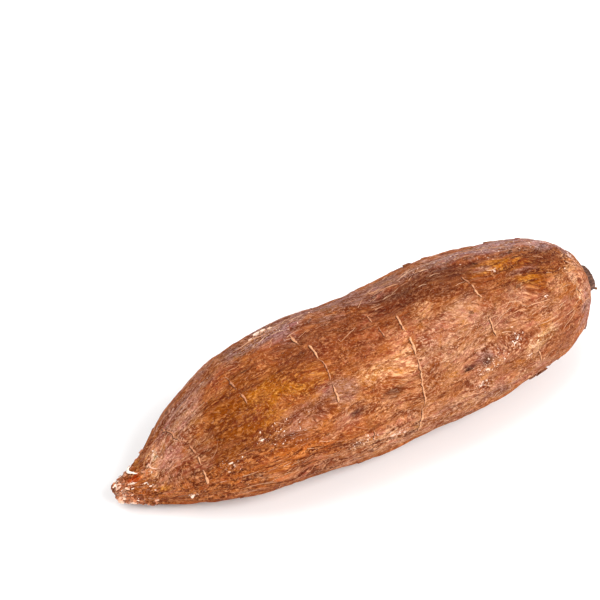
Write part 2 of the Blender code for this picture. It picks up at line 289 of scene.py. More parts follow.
# Pale scars across the bark: brightness, width, then rows of (station, angle in degrees)
SCARS = [
    (0.37, 1.1, (-97.6, 116), (-94.9, 70)),
    (0.43, 0.9, (-92.4, 60), (-91.7, 48)),
    (0.49, 1, (-91.6, 44), (-91.2, 34)),
    (0.58, 1.4, (-90.9, 26), (-90.7, 16), (-90.5, 7)),
    (0.34, 0.9, (-69.3, 96), (-68.8, 78)),
    (0.4, 0.9, (-68.6, 74), (-67.9, 63)),
    (0.52, 1.4, (-37.3, 99), (-36.8, 86)),
    (0.62, 1.5, (-33.4, 83), (-33.1, 76), (-32.9, 70)),
    (0.43, 0.9, (-32.9, 69), (-31.7, 64), (-32.5, 52)),
    (0.58, 1.3, (-32.6, 50), (-32.7, 46), (-33.1, 36)),
    (0.46, 0.9, (-1.8, 91), (-1.7, 83)),
    (0.37, 0.7, (-1.2, 77), (-0.7, 68)),
    (0.55, 1.1, (9.6, 81), (9, 73), (8.5, 66)),
    (0.6, 1.4, (9.1, 61), (8.8, 53), (8.5, 47)),
    (0.55, 1.2, (8.5, 46), (7.6, 32), (7.6, 16), (6.6, 8)),
    (0.58, 1.3, (6.4, 7), (5.3, 0), (4.8, -17)),
    (0.37, 0.9, (47.4, 86), (48.3, 77)),
    (0.62, 1.3, (48.5, 76), (49.2, 64)),
    (0.58, 1.3, (48.4, 51), (48.3, 34)),
    (0.55, 0.9, (72.2, 13), (73.6, -3)),
    (0.5, 1, (105, 46), (106.2, 34), (106.2, 25)),
    (0.49, 0.9, (-19.6, 6), (-19.8, -6)),
    (0.43, 1.1, (-84, 214), (-82, 192)),
    (0.34, 0.8, (-81.8, 186), (-80, 158)),
    (0.49, 1.2, (-49, 216), (-49.6, 196)),
    (0.37, 0.8, (-49.5, 190), (-48.4, 174)),
    (0.46, 1.1, (-14, 176), (-12.4, 161)),
    (0.34, 0.8, (-12, 156), (-13.5, 130)),
    (0.4, 0.9, (23, 226), (25, 205)),
    (0.52, 1.3, (25, 198), (24.6, 183)),
    (0.37, 0.8, (61, 176), (59.6, 160)),
    (0.46, 1.1, (59, 152), (60, 134)),
    (0.43, 1, (84, 236), (86.4, 214)),
    (0.34, 0.8, (87, 205), (86, 178)),
    (0.43, 0.9, (106, 150), (107.5, 130)),
    (0.43, 0.9, (-62, -34), (-61, -22)),
]
SCAR_STEP = 0.45
SCAR_SIDES = 6
SCAR_WANDER = 0.3
SCAR_HEIGHT = 0.36
SCAR_SUNK = 0.06
SCAR_SHADOW = 0.3  # half width of the dark line painted beside each scar as its shadow

CHIP_SUNK = 0.4  # how deep a chip's outline reaches into the bark
CHIP_ROOT = 0.8  # how deep its middle reaches

# Lifted flakes of bark: station, angle, length, width, tilt, shade, side that stands up
FLAKES = [
    (87, 143, 7, 3, 0.35, 0.45, 1),
    (93, 141, 4, 2, 0.3, 0.45, 1),
    (66, 139, 5, 2.4, 0.25, 0.45, 1),
    (37, 134, 5, 3, 0.3, 0.7, 1),
    (76, -33, 7, 3, 0.28, 0.5, -1),
    (82, -33, 8, 3.4, 0.26, 0.5, -1),
    (88, -31, 5, 2.6, 0.3, 0.5, -1),
    (93, -29, 4, 2.4, 0.3, 0.6, -1),
    (110.5, -13, 5, 4, 0.34, 0.5, -1),
    (-110.5, 118, 4, 2.4, 0.4, 0.8, 1),
    (30.5, 21, 5, 2, 0.35, 0.4, 1),
    (-77.7, 118, 3.5, 2, 0.4, 1.1, 1),
]
# Random flakes: how many, lowest and highest angle in degrees
FLAKE_BELTS = [(50, 84.0, 112.0), (130, 0.0, 360.0), (60, 150.0, 260.0)]
FLAKE_ENDS = (-114.0, 116.0)
FLAKE_LENGTHS = (1.2, 4.2)
FLAKE_SLIMNESS = (0.2, 0.5)  # width for each length
FLAKE_SHADES = (0.5, 1.2)

# How bits gather in their clusters: spread and farthest reach, in half lengths and half widths
CLUSTER_SPREAD = 0.6
CLUSTER_REACH = 1.3

# Clusters of pale crumbs: station, angle, half length and half width in mm, how many
CRUMB_CLUSTERS = [
    (58, 26, 4, 3, 43),
    (39, 16, 5, 3, 38),
    (37, 1, 5, 3, 32),
    (47, 21, 6, 3, 22),
    (-67.5, 32, 2, 1, 7),
    (-77, 108, 2, 1, 10),
    (-80, 21, 4, 2.5, 14),
    (-57, 30, 8, 6, 38),
    (-9, -8, 7, 4, 50),
    (-24, -1, 7, 3, 38),
    (66, 8, 2.5, 1.5, 10),
    (-104, 88, 1.2, 2.5, 14),
    (-107.6, 70, 1.5, 4, 17),
    (-111, 38, 2, 2.5, 8),
    (-116.6, 64.5, 0.9, 1.4, 12),
    (-116, -12, 3, 2, 15),
    (-122.5, 20, 1.5, 3, 15),
    (-96, -8, 3, 1.5, 10),
    (-44.5, 120, 5, 1.6, 50),
    (-30, 112, 10, 3, 14),
    (40, 112, 30, 4, 27),
    (65, 81, 3, 1, 8),
    (85, 100, 25, 6, 24),
    (112, 80, 2, 2, 7),
    (83, 48, 1.5, 1, 5),
    (60, 200, 8, 6, 34),
    (-30, 170, 10, 6, 34),
    (20, 240, 14, 6, 27),
    (-85, 200, 8, 5, 24),
]
LOOSE_CRUMBS = 150
LOOSE_ENDS = (-118.0, 118.0)
LOOSE_SIZES = (0.3, 0.6)
LOOSE_SHADES = (0.0, 0.6)
CRUMB_SHADES = (0.35, 1.0)
FROST_MARGIN = 2.0  # how far the tiny specks reach round a cluster
FROST_EDGE = (0.3, 1.3)

# Pale flakes of dried rind: station, angle, length, width, tilt, shade
PALE_FLAKES = [
    (-46.2, 122.5, 3.4, 1.3, 0.5, 0.8),
    (-43.4, 121, 2.6, 1.2, 0.5, 0.7),
    (-50.6, 118, 2.2, 1, 0.4, 0.6),
    (-40.6, 118, 2.6, 1, 0.4, 0.6),
    (-77.7, 118, 2.2, 1, 0.2, 0.85),
    (-116, 62, 2.6, 1, 0.3, 0.85),
    (-111.8, 47, 1.6, 0.8, 0.3, 0.7),
    (-110.2, 36, 1.8, 0.9, 0.3, 0.6),
    (-116, -15, 2.6, 1.2, 0.3, 0.8),
    (-67.5, 32, 2, 0.9, 0.2, 0.8),
    (-80.7, 22, 2.6, 1, 0.2, 0.7),
    (-96.1, -8, 2.8, 1, 0.2, 0.5),
    (57.5, 25, 1.8, 0.8, 0.3, 0.75),
    (59.5, 27.5, 1.4, 0.8, 0.3, 0.9),
    (58, 37, 1.2, 0.6, 0.3, 0.7),
    (39.5, 16, 2, 1, 0.3, 0.7),
    (37, 2, 2.4, 1.1, 0.2, 0.7),
    (66, 8.5, 1.2, 0.8, 0.3, 0.8),
    (-9, -8, 3, 1, 0.2, 0.75),
    (-6, -6, 2.2, 1, 0.2, 0.6),
    (82.8, 48, 1.2, 0.8, 0.2, 0.8),
    (102.9, 64, 1.2, 0.7, 0.2, 0.7),
    (113, 83, 1.2, 0.7, 0.2, 0.8),
    (-30, 186, 3.2, 1.4, 0.3, 0.6),
    (62, 202, 3, 1.2, 0.3, 0.6),
]

# Fine root hairs and fibres: station, angle, half length, half width, how many, lean in degrees
HAIR_CLUSTERS = [
    (70, 44, 20, 8, 28, 3),
    (97, 34, 11, 13, 22, 16),
    (100, 70, 12, 10, 8, -20),
    (0, 96, 45, 8, 24, 12),
    (-48, 112, 18, 8, 20, 8),
    (30, 112, 34, 8, 32, 10),
    (75, 110, 28, 9, 20, -8),
    (-90, 95, 16, 9, 5, 10),
    (-20, 15, 60, 14, 26, -12),
    (-60, -2, 40, 8, 20, 8),
    (-100, 70, 10, 9, 5, 30),
    (0, 180, 110, 40, 60, 0),
    (0, 250, 100, 30, 30, 0),
]
HAIR_POINTS = 12
HAIR_ENDS = (-121.0, 122.0)
HAIR_LENGTHS = (2.0, 8.0)
HAIR_RADII = (0.08, 0.17)
HAIR_SHADES = (0.1, 0.7)

# Single fibres: thickness, shade, then rows of (station, angle in degrees)
FIBRES = [
    (0.26, 0.4, (-20.5, 75.5), (-18, 77), (-15, 79.5), (-12, 82), (-10, 84)),
    (0.25, 0.3, (-20.5, 75.5), (-21, 78)),
    (0.3, 0.4, (12, 109), (18, 106.5), (21, 105)),
    (0.35, 0.7, (60.7, 83.5), (63, 82.5), (66.3, 83)),
    (0.35, 0.45, (70, 46), (74, 46.4), (77.8, 45.5), (85.6, 44.5)),
    (0.3, 0.4, (60.7, 45.5), (63.5, 46), (66.3, 46)),
    (0.3, 0.4, (56.6, 53.5), (60.7, 54), (65.3, 53.5)),
    (0.35, 0.5, (73.2, 30.5), (79.2, 29.5), (83.3, 30), (86.9, 30.5)),
    (0.3, 0.45, (78.7, 24), (83.7, 25.5), (88.8, 26.5)),
    (0.3, 0.4, (89.7, 15), (92.3, 17.5), (95.5, 20), (99.4, 24.5)),
    (0.3, 0.35, (45.5, 47), (48.7, 49), (56.1, 48.5)),
    (0.3, 0.35, (107, 27), (114.3, 22.5)),
    (0.3, 0.4, (-60, 116), (-55, 115), (-49, 116), (-44, 114)),
    (0.3, 0.4, (30, 1), (34, -2), (38, -3)),
    (0.3, 0.35, (-27, -4), (-22, -2), (-16, -3)),
    (0.3, 0.35, (-78, -14), (-70, -12), (-64, -13)),
]

# Stub of the woody neck
STUB_ANCHOR = (124.3, -1.9, 33.1)
STUB_AXIS = (0.95, -0.10, 0.24)
STUB_OVAL = 0.92
STUB_SIDES = 112
# Its section: radius, height above the anchor
STUB_PROFILE = [
    (8.0, -4.0), (7.8, -2.5), (7.6, -1.0), (7.4, 0.5), (7.1, 1.8), (6.9, 2.9), (6.7, 3.7), (6.4, 4.2),
    (6.0, 4.4), (5.5, 4.3), (5.0, 3.9), (4.8, 3.6), (4.4, 3.3), (3.8, 3.3), (3.1, 3.35), (2.5, 3.3),
    (1.9, 3.3), (1.4, 3.2), (1.1, 2.9), (0.8, 2.5), (0.5, 2.4),
]
PEG_AT = (-3.2, -4.2, 4.2)
PEG_LENGTH = 2.0
PEG_RADIUS = 0.85
PEG_SUNK = 1.5
PEG_POINTS = 12
PEG_SIDES = 10

# Torn thin end
TORN_AT = (-119.8, 0.0, 12.0)
TORN_AXIS = (-1.0, 0.0, -0.12)
TORN_SIDES = 84
TORN_PROFILE = [
    (4.9, -2.4), (4.8, -1.6), (4.6, -0.8), (4.4, 0.0), (4.2, 0.8), (4.0, 1.5), (3.8, 2.1), (3.5, 2.5),
    (3.1, 2.4), (2.7, 2.0), (2.3, 1.7), (1.8, 1.6), (1.3, 1.5), (0.8, 1.4), (0.4, 1.4),
]

# Loose shards about the torn end: how many, outermost station, how far inwards they reach
SHARDS = (330, -123.0, 17.0)
SHARD_END = -122.3  # outermost station at which one is put on the skin
SHARD_LENGTHS = (0.7, 2.8)
SHARD_SHADES = (-0.1, 0.4)
PALE_SHARDS = 0.1  # their share
PALE_SHARD_SHADES = (0.5, 0.8)

# Strips of torn bark near the thin end: station with its run and its bow, angle with its run,
# width with its swell, lift with its swell, thickness, shade
TORN_STRIPS = [
    (-112.6, 0.0, -2.6, 86.0, 46.0, 0.5, 0.9, 0.3, 0.7, 0.45, 0.9),
    (-117.8, 3.4, 0.0, 67.0, -8.0, 0.5, 0.8, 0.3, 0.4, 0.4, 0.8),
    (-104.6, 0.0, -3.0, 60.0, 30.0, 0.4, 0.5, 0.15, 0.2, 0.3, 0.55),
]
STRIP_POINTS = 18

# Dull materials: shades with their colours, size and contrast of the noise, roughness, relief
DULL_MATERIALS = {
    # Pale cork for the scars; its darkest stop colours the painted shadow beside each scar
    "scar_cork_and_shadow": (
        [(0.0, (80, 34, 12)), (0.12, (150, 88, 56)), (0.45, (194, 132, 94)), (0.8, (224, 170, 126)),
         (1.0, (244, 208, 170))], 1000.0, 1.0, 0.7, 0.0003),
    "pale_rind": (
        [(0.0, (190, 130, 94)), (0.5, (222, 176, 144)), (1.0, (248, 230, 214))], 900.0, 0.5, 0.6, 0.0002),
    "dry_fibre": (
        [(0.0, (150, 90, 60)), (0.35, (206, 146, 106)), (0.8, (236, 194, 158))], 700.0, 0.5, 0.6, 0.0001),
    "torn_flesh": (
        [(0.0, (128, 66, 34)), (0.25, (184, 112, 72)), (0.5, (214, 156, 124)), (0.75, (240, 208, 184)),
         (1.0, (252, 244, 232))], 650.0, 0.7, 0.6, 0.0004),
}

# Camera and light
CAMERA_AT = Vector((-0.2758, -0.4203, 0.4932))
CAMERA_TURN = 29.4
CAMERA_DROP = 40.0
LENS = 90.0
SENSOR = 36.0
FLOOR_HALF = 40.0  # half the side of the floor, in metres
SKY = [(0.2, 1.0), (0.45, 0.56)]  # brightness of the room: at a height, from the horizon's 0 to 1
# Soft lights: direction they shine from, strength, spread in degrees
SOFT_LIGHTS = [
    ("key", (0.45, -0.95, 0.95), 3.0, 34.0),
    ("top", (-0.2, 0.3, 1.2), 1.5, 46.0),
]


def linear(colour):
    """An sRGB colour in 0 to 255 as linear values with alpha."""
    share = np.asarray(colour, float) / 255.0
    value = np.where(share <= 0.04045, share / 12.92, ((share + 0.055) / 1.055) ** 2.4)
    return (*value, 1.0)


def light_of(colour):
    """The three linear values of an sRGB colour."""
    return np.array(linear(colour)[:3])


def smooth_step(value, low, high):
    """0 below low, 1 above high, with a smooth rise between them."""
    share = np.clip((value - low) / (high - low), 0.0, 1.0)
    return share * share * (3.0 - 2.0 * share)


def gradient_noise(points, seed):
    """Perlin noise, from about -1 to 1, at each row of points."""
    draw = np.random.default_rng(seed)
    order = np.tile(draw.permutation(256), 3)
    slopes = draw.normal(size=(256, 3))
    slopes /= np.linalg.norm(slopes, axis=1)[:, None]
    points = np.asarray(points, float)
    cell = np.floor(points).astype(int)
    part = points - cell
    fade = part ** 3 * (part * (part * 6.0 - 15.0) + 10.0)
    total = np.zeros(len(points))
    for corner in itertools.product((0, 1), repeat=3):
        index = (cell + corner) & 255
        pick = order[order[order[index[:, 0]] + index[:, 1]] + index[:, 2]]
        reach = np.sum(slopes[pick] * (part - corner), axis=1)
        total += reach * np.prod(np.where(corner, fade, 1.0 - fade), axis=1)
    return total * 1.7


def fractal_noise(points, seed, octaves=3, gain=0.5):
    """Several octaves of noise, each half the size of the one before."""
    points = np.asarray(points, float)
    total = np.zeros(len(points))
    for octave in range(octaves):
        total += gain ** octave * gradient_noise(points * 2.0 ** octave, seed + 100 * octave)
    return total


def solid_noise(points):
    """The noise that the solid's own relief is made with."""
    return np.array([noise.noise(Vector(point)) for point in points])


def curve_between(before, start, end, after, count):
    """Points of a centripetal Catmull-Rom curve from start up to end."""
    knots = [0.0]
    for first, second in ((before, start), (start, end), (end, after)):
        knots.append(knots[-1] + math.sqrt(np.linalg.norm(second - first)))
    t = np.linspace(knots[1], knots[2], count, endpoint=False)[:, None]

    def blend(p, q, low, high):
        return ((high - t) * p + (t - low) * q) / (high - low)

    a = blend(before, start, knots[0], knots[1])
    b = blend(start, end, knots[1], knots[2])
    c = blend(end, after, knots[2], knots[3])
    return blend(blend(a, b, knots[0], knots[2]), blend(b, c, knots[1], knots[3]), knots[1], knots[2])


def smooth_sections(rows, count_between=24):
    """Run a smooth curve through the sections, crossing the root's axis squarely at both ends."""
    rows = np.array(rows)
    mirror = np.array((1.0, -1.0, 1.0, 1.0))
    padded = np.vstack([rows[1] * mirror, rows, rows[-2] * mirror])
    pieces = [curve_between(*padded[i:i + 4], count_between) for i in range(len(rows) - 1)]
    curve = np.vstack(pieces + [rows[-1]])
    steps = np.linalg.norm(np.diff(curve[:, :2], axis=0), axis=1)
    travelled = np.concatenate([[0.0], np.cumsum(steps)])
    return travelled / travelled[-1], curve


TRAVEL, CURVE = smooth_sections(SECTIONS)


def travel_at(station):
    """Share of the way along the outline where the root has this station."""
    return np.interp(station, CURVE[:, 0], TRAVEL)


def sections_at(travel):
    """Stations, radii and centres of the sections at shares of the way along the outline."""
    return [np.interp(travel, TRAVEL, column) for column in CURVE.T]


def bark_space(station, angle, radius=GIRTH_RADIUS):
    """Place on the bark as a point in space: the root drawn out straight and round."""
    return np.stack([station, radius * np.cos(angle), radius * np.sin(angle)], axis=1)


def turn_between(angle, degrees):
    """The shorter turn, in radians, from an angle in degrees to each angle."""
    return np.remainder(angle - math.radians(degrees) + math.pi, math.tau) - math.pi


def solid_relief(station, radius, angle):
    """Lumps, lengthwise wrinkles and dents that the solid has too."""
    across = np.stack([np.zeros_like(angle), np.cos(angle), np.sin(angle)], axis=1)
    along = np.stack([station, np.zeros_like(angle), np.zeros_like(angle)], axis=1)
    lump = solid_noise(LUMP_FIELD + along / LUMP_LENGTH + across * LUMPS_ROUND)
    wrinkle = solid_noise(WRINKLE_FIELD + along / WRINKLE_LENGTH + across * WRINKLES_ROUND)
    height = LUMP_HEIGHT * lump + WRINKLE_HEIGHT * wrinkle
    for dent_station, dent_angle, dent_radius, depth in DENTS:
        distance = np.hypot(station - dent_station, turn_between(angle, dent_angle) * radius)
        height -= depth * np.exp(-(distance / dent_radius) ** 2)
    return height


def field(space, row, octaves=2):
    """Noise stretched along the root, for one row of the fine relief."""
    _, length, width, seed = row
    return fractal_noise(space / (length, width, width), seed, octaves)


def warped(space):
    """The bark's space pushed about, so that no pattern on it runs dead straight."""
    push, length, width, seed = WARP
    sway = gradient_noise(space / (length, width, width), seed)
    swing = gradient_noise(space / (length, width, width), seed + 1)
    return space + np.stack([sway * WARP_ALONG, sway * push * 2.0, swing * push * 2.0], axis=1)


def fine_relief(station, angle):
    """Folds, creases, grain and the edges of peeled plates, with the share that is peeled."""
    space = warped(bark_space(station, angle))
    folds = np.abs(field(space, FOLDS))
    creases = np.abs(field(space, CREASES))
    grain = field(space, GRAIN, 1)
    peeled = smooth_step(field(space, PLATES, 3), 0.05, 0.14)
    rough = 0.5 + 0.5 * smooth_step(field(space, ROUGH_AREAS), -0.3, 0.4)
    height = FOLDS[0] * (folds - 0.25) + CREASES[0] * (creases - 0.25) * rough
    height += GRAIN[0] * grain * rough - PLATES[0] * peeled
    crumbly = smooth_step(station, *CRUMBLE_STATIONS)
    height += CRUMBLE[0] * crumbly * (field(bark_space(station, angle), CRUMBLE, 3) - 0.2)
    return height, peeled


def skin_data(travel, angle):
    """Points of the skin, its fine relief and the share that is peeled."""
    station, radius, side, height = sections_at(travel)
    fine, peeled = fine_relief(station, angle)
    fade = np.minimum(1.0, radius / FULL_RELIEF_RADIUS)
    reach = radius + fade * (solid_relief(station, radius, angle) + fine)
    hollow_station, hollow_angle, hollow_radius, hollow_depth = TIP_HOLLOW
    distance = np.hypot(station - hollow_station, turn_between(angle, hollow_angle) * radius)
    reach -= hollow_depth * np.exp(-(distance / hollow_radius) ** 4)
    points = np.stack([
        station, side - reach * np.cos(angle), height + FLATTENING * reach * np.sin(angle)
    ], axis=1) + ORIGIN_SHIFT
    points[:, 2] = np.maximum(points[:, 2], 0.0)
    return points, fine, peeled


def skin_frames(station, angle):
    """Points of the skin with the directions along the root, across it and out of it."""
    station = np.asarray(station, float)
    angle = np.asarray(angle, float)
    travel = travel_at(station)
    step, turn = FRAME_STEPS
    points = skin_data(travel, angle)[0]
    ahead = smooth_points(np.minimum(travel + step, 1.0), angle)
    behind = smooth_points(np.maximum(travel - step, 0.0), angle)
    along = unit(ahead - behind)
    across = unit(smooth_points(travel, angle + turn) - smooth_points(travel, angle - turn))
    return points, along, across, unit(np.cross(along, across))


def turned_frame(frames, i, turn):
    """The frame at one of the points, its first direction turned on the skin."""
    points, along, across, outward = frames
    forward = along[i] * math.cos(turn) + across[i] * math.sin(turn)
    return points[i], forward, np.cross(forward, outward[i]), outward[i]


def smooth_points(travel, angle):
    """Points of the root's form without its relief."""
    station, radius, side, height = sections_at(travel)
    return np.stack([
        station, side - radius * np.cos(angle), height + FLATTENING * radius * np.sin(angle)
    ], axis=1) + ORIGIN_SHIFT


def unit(vectors):
    """Each row scaled to length 1."""
    vectors = np.asarray(vectors, float)
    return vectors / np.linalg.norm(vectors, axis=-1, keepdims=True)


def mark_distance(station, radius, angle, at, degrees, half_length, half_width):
    """How far each place is from the middle of an oval mark, 1 on its edge."""
    across = turn_between(angle, degrees) * np.maximum(radius, MARK_RADIUS)
    return np.hypot((station - at) / half_length, across / half_width)


def stain_shade_and_sheen_colours(station, radius, angle):
    """Colour of the bark at each place, before its streaks: the stains laid over one brown, with painted
    shade and a painted sheen along the top among them.
    """
    space = bark_space(station, angle)
    rag = fractal_noise(space / RAG_SIZE, SEEDS["stains"], 4, 0.6)
    drift = fractal_noise(space / DRIFT_SIZE, SEEDS["drift"], 2)
    colour = np.tile(light_of(BROWN), (len(space), 1))
    lean = DRIFT_MOST * smooth_step(drift, -0.5, 0.6)[:, None]
    colour += lean * (light_of(RED_BROWN) - colour)
    for tone, *oval, strength in STAINS_SHADE_AND_SHEEN:
        distance = mark_distance(station, radius, angle, *oval)
        share = strength * (1.0 - smooth_step(distance + STAIN_RAGGEDNESS * rag, *STAIN_EDGE))
        colour += share[:, None] * (light_of(tone) - colour)
    return colour * EXPOSURE


def furrowed_share(station, radius, angle):
    """How strongly the long dark furrows show at each place."""
    rag = fractal_noise(bark_space(station, angle) / RAG_SIZE, SEEDS["furrows"], 3)
    share = np.full(len(rag), LEAST_FURROWED)
    for oval in FURROWED:
        distance = mark_distance(station, radius, angle, *oval)
        share = np.maximum(share, 1.0 - smooth_step(distance + FURROW_RAGGEDNESS * rag, *FURROW_EDGE))
    return share


def frosted_share(station, radius, angle):
    """How densely tiny pale specks lie on each place: about the clusters of crumbs."""
    share = np.zeros(len(station))
    for *middle, half_length, half_width, _ in CRUMB_CLUSTERS:
        distance = mark_distance(
            station, radius, angle, *middle, half_length + FROST_MARGIN, half_width + FROST_MARGIN)
        share = np.maximum(share, 1.0 - smooth_step(distance, *FROST_EDGE))
    return share


def new_mesh(name, points, faces, material, smooth=True):
    """An object from points in millimetres."""
    mesh = bpy.data.meshes.new(name)
    mesh.from_pydata((np.asarray(points) * MM).tolist(), [], faces)
    form = bmesh.new()
    form.from_mesh(mesh)
    bmesh.ops.recalc_face_normals(form, faces=form.faces)
    form.to_mesh(mesh)
    form.free()
    if smooth:
        mesh.shade_smooth()
    mesh.materials.append(material)
    item = bpy.data.objects.new(name, mesh)
    bpy.context.scene.collection.objects.link(item)
    return item


def add_values(item, name, values, kind="FLOAT"):
    """Store one value, vector or colour a point on a mesh."""
    layer = item.data.attributes.new(name, kind, "POINT")
    key = {"FLOAT": "value", "FLOAT_VECTOR": "vector", "FLOAT_COLOR": "color"}[kind]
    layer.data.foreach_set(key, np.asarray(values, np.float32).ravel())


def place(item):
    """Make a piece ride on the root and stand for its solid."""
    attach(item, BODY)
    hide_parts(NODE)


def add_bark(item, tint, space, **values):
    """Store what the bark's material reads at each point: its colour, its place and four shares."""
    tint = np.asarray(tint)
    add_values(item, "tint", np.column_stack([tint, np.ones(len(tint))]), "FLOAT_COLOR")
    add_values(item, "bark", space, "FLOAT_VECTOR")
    for name, value in values.items():
        add_values(item, name, np.broadcast_to(value, len(tint)))


def ring_faces(rows, sides):
    """Faces between rows of points, each row a closed ring."""
    faces = []
    for row in range(rows - 1):
        for side in range(sides):
            a = row * sides + side
            b = row * sides + (side + 1) % sides
            faces.append((a, b, b + sides, a + sides))
    return faces


def make_skin(material):
    """The root's skin: rings of points with one point at each end."""
    travel = np.repeat(np.linspace(0.0, 1.0, SKIN_RINGS + 2)[1:-1], SKIN_SIDES)
    turns = np.arange(SKIN_SIDES) * math.tau / SKIN_SIDES
    travel = np.concatenate([travel, [0.0, 1.0]])
    angle = np.concatenate([np.tile(turns, SKIN_RINGS), [0.0, 0.0]])
    points, fine, peeled = skin_data(travel, angle)
    faces = ring_faces(SKIN_RINGS, SKIN_SIDES)
    thin_end = SKIN_RINGS * SKIN_SIDES
    last = thin_end - SKIN_SIDES
    for side in range(SKIN_SIDES):
        after = (side + 1) % SKIN_SIDES
        faces.append((thin_end, after, side))
        faces.append((thin_end + 1, last + side, last + after))
    item = new_mesh("bark_skin", points, faces, material)
    station, radius, _, _ = sections_at(travel)
    # The value raised carries the relief's height for painted shade: the bark's material darkens the
    # creases and lightens the ridges a little
    add_bark(
        item, stain_shade_and_sheen_colours(station, radius, angle), warped(bark_space(station, angle, radius)),
        raised=smooth_step(fine, -0.45, 0.35), peeled=peeled,
        furrowed=furrowed_share(station, radius, angle), frosted=frosted_share(station, radius, angle))
    place(item)


class Pile:
    """Many small closed shapes gathered into one mesh, each with a shade from 0 to 1."""

    def __init__(self):
        self.points = []
        self.faces = []
        self.shades = []

    def add(self, points, faces, shade):
        """Add one closed shape."""
        start = len(self.points)
        self.points.extend(np.asarray(points).tolist())
        self.faces.extend([tuple(start + index for index in face) for face in faces])
        self.shades.extend([shade] * len(points))

    def build(self, name, material, smooth=True):
        """Make the mesh."""
        item = new_mesh(name, self.points, self.faces, material, smooth)
        add_values(item, "shade", self.shades)
        place(item)
        return item


def tube_faces(rows, sides):
    """Faces of a closed tube whose points come in rows of one ring each, ends capped."""
    caps = [tuple(reversed(range(sides))), tuple(range((rows - 1) * sides, rows * sides))]
    return ring_faces(rows, sides) + caps


def ribbon(path, across, outward, widths, thickness):
    """Points of a thin closed strip: four corners at each point of its path."""
    half = across * widths[:, None] / 2.0
    rise = outward * thickness / 2.0
    rings = [path - half - rise, path + half - rise, path + half + rise, path - half + rise]
    return np.stack(rings, axis=1).reshape(-1, 3)


def make_scars(material):
    """Pale raised scars, uneven in width, height and course, each with a painted shadow: a dark line on
    its side towards the thin end.
    """
    draw = np.random.default_rng(SEEDS["scars"])
    pile = Pile()
    profile = np.arange(SCAR_SIDES) * math.tau / SCAR_SIDES
    for brightness, full_width, *row in SCARS:
        row = np.array(row, float)
        radius = sections_at(travel_at(row[:, 0].mean()))[1]
        length = np.radians(np.abs(np.diff(row[:, 1]))).sum() * radius
        count = max(8, int(length / SCAR_STEP))
        share = np.linspace(0.0, 1.0, count)
        knots = np.abs(row[:, 1] - row[0, 1]) / abs(row[-1, 1] - row[0, 1])
        angle = np.radians(np.interp(share, knots, row[:, 1]))
        line = np.column_stack([share * length / 3.0, np.full((count, 2), row[0])])
        wander = fractal_noise(line, SEEDS["scar course"], 2)
        station = np.interp(share, knots, row[:, 0]) + SCAR_WANDER * wander
        points, along, _, outward = skin_frames(station, angle)
        taper = np.minimum(1.0, 5.0 * np.minimum(share, 1.0 - share) + 0.2)
        uneven = np.clip(0.75 + 0.8 * fractal_noise(line * 2.0, SEEDS["scar width"], 2), 0.2, 1.3)
        width = full_width * taper * uneven
        height = SCAR_HEIGHT * taper * uneven * draw.uniform(0.8, 1.2, count)
        rings = [
            points + along * (width * math.cos(turn) / 2.0)[:, None]
            + outward * (height * math.sin(turn) - SCAR_SUNK)[:, None]
            for turn in profile
        ]
        faces = tube_faces(count, SCAR_SIDES)
        pile.add(np.stack(rings, axis=1).reshape(-1, 3), faces, brightness)
        # Painted shadow: a thin dark tube beside the scar, on its side away from the key light
        shadow_path = points - along * (width * 0.5 + SCAR_SHADOW * 0.4)[:, None] + outward * 0.02
        radii = SCAR_SHADOW * taper * draw.uniform(0.2, 1.0, count)
        pile.add(tube_along(shadow_path, radii), tube_faces(count, 4), -0.7)
    pile.build("scars", material)


def scattered(draw, clusters):
    """Stations and angles drawn about the middles of clusters, densest in the middle."""
    stations, angles = [], []
    for station, degrees, half_length, half_width, count, *_ in clusters:
        radius = sections_at(travel_at(station))[1]
        drawn = np.clip(draw.normal(0.0, CLUSTER_SPREAD, (2, count)), -CLUSTER_REACH, CLUSTER_REACH)
        stations.append(station + half_length * drawn[0])
        angles.append(math.radians(degrees) + half_width * drawn[1] / radius)
    return np.clip(np.concatenate(stations), *ENDS), np.concatenate(angles)


def chip_shape(draw, frame_at, length, width, tilt, thickness, corners=7):
    """A thin closed chip with a ragged outline, lifted along one edge and slightly curled."""
    point, along, across, outward = frame_at
    turns = (np.arange(corners) + draw.uniform(-0.3, 0.3, corners)) * math.tau / corners
    reach = draw.uniform(0.65, 1.1, corners)
    u = np.append(np.cos(turns) * reach * length / 2.0, 0.0)
    v = np.append(np.sin(turns) * reach * width / 2.0, 0.0)
    lift = tilt * (v + width / 2.0) + 0.25 * tilt * u * u / length
    base = point + np.outer(u, along) + np.outer(v, across)
    top = base + np.outer(lift + thickness, outward)
    bottom = base + np.outer(lift - CHIP_SUNK, outward)
    bottom[corners] = point - CHIP_ROOT * outward
    faces = []
    under = corners + 1
    for i in range(corners):
        j = (i + 1) % corners
        faces.append((i, j, corners))
        faces.append((under + j, under + i, under + corners))
        faces.append((i, under + i, under + j, j))
    return np.vstack([top, bottom]), faces


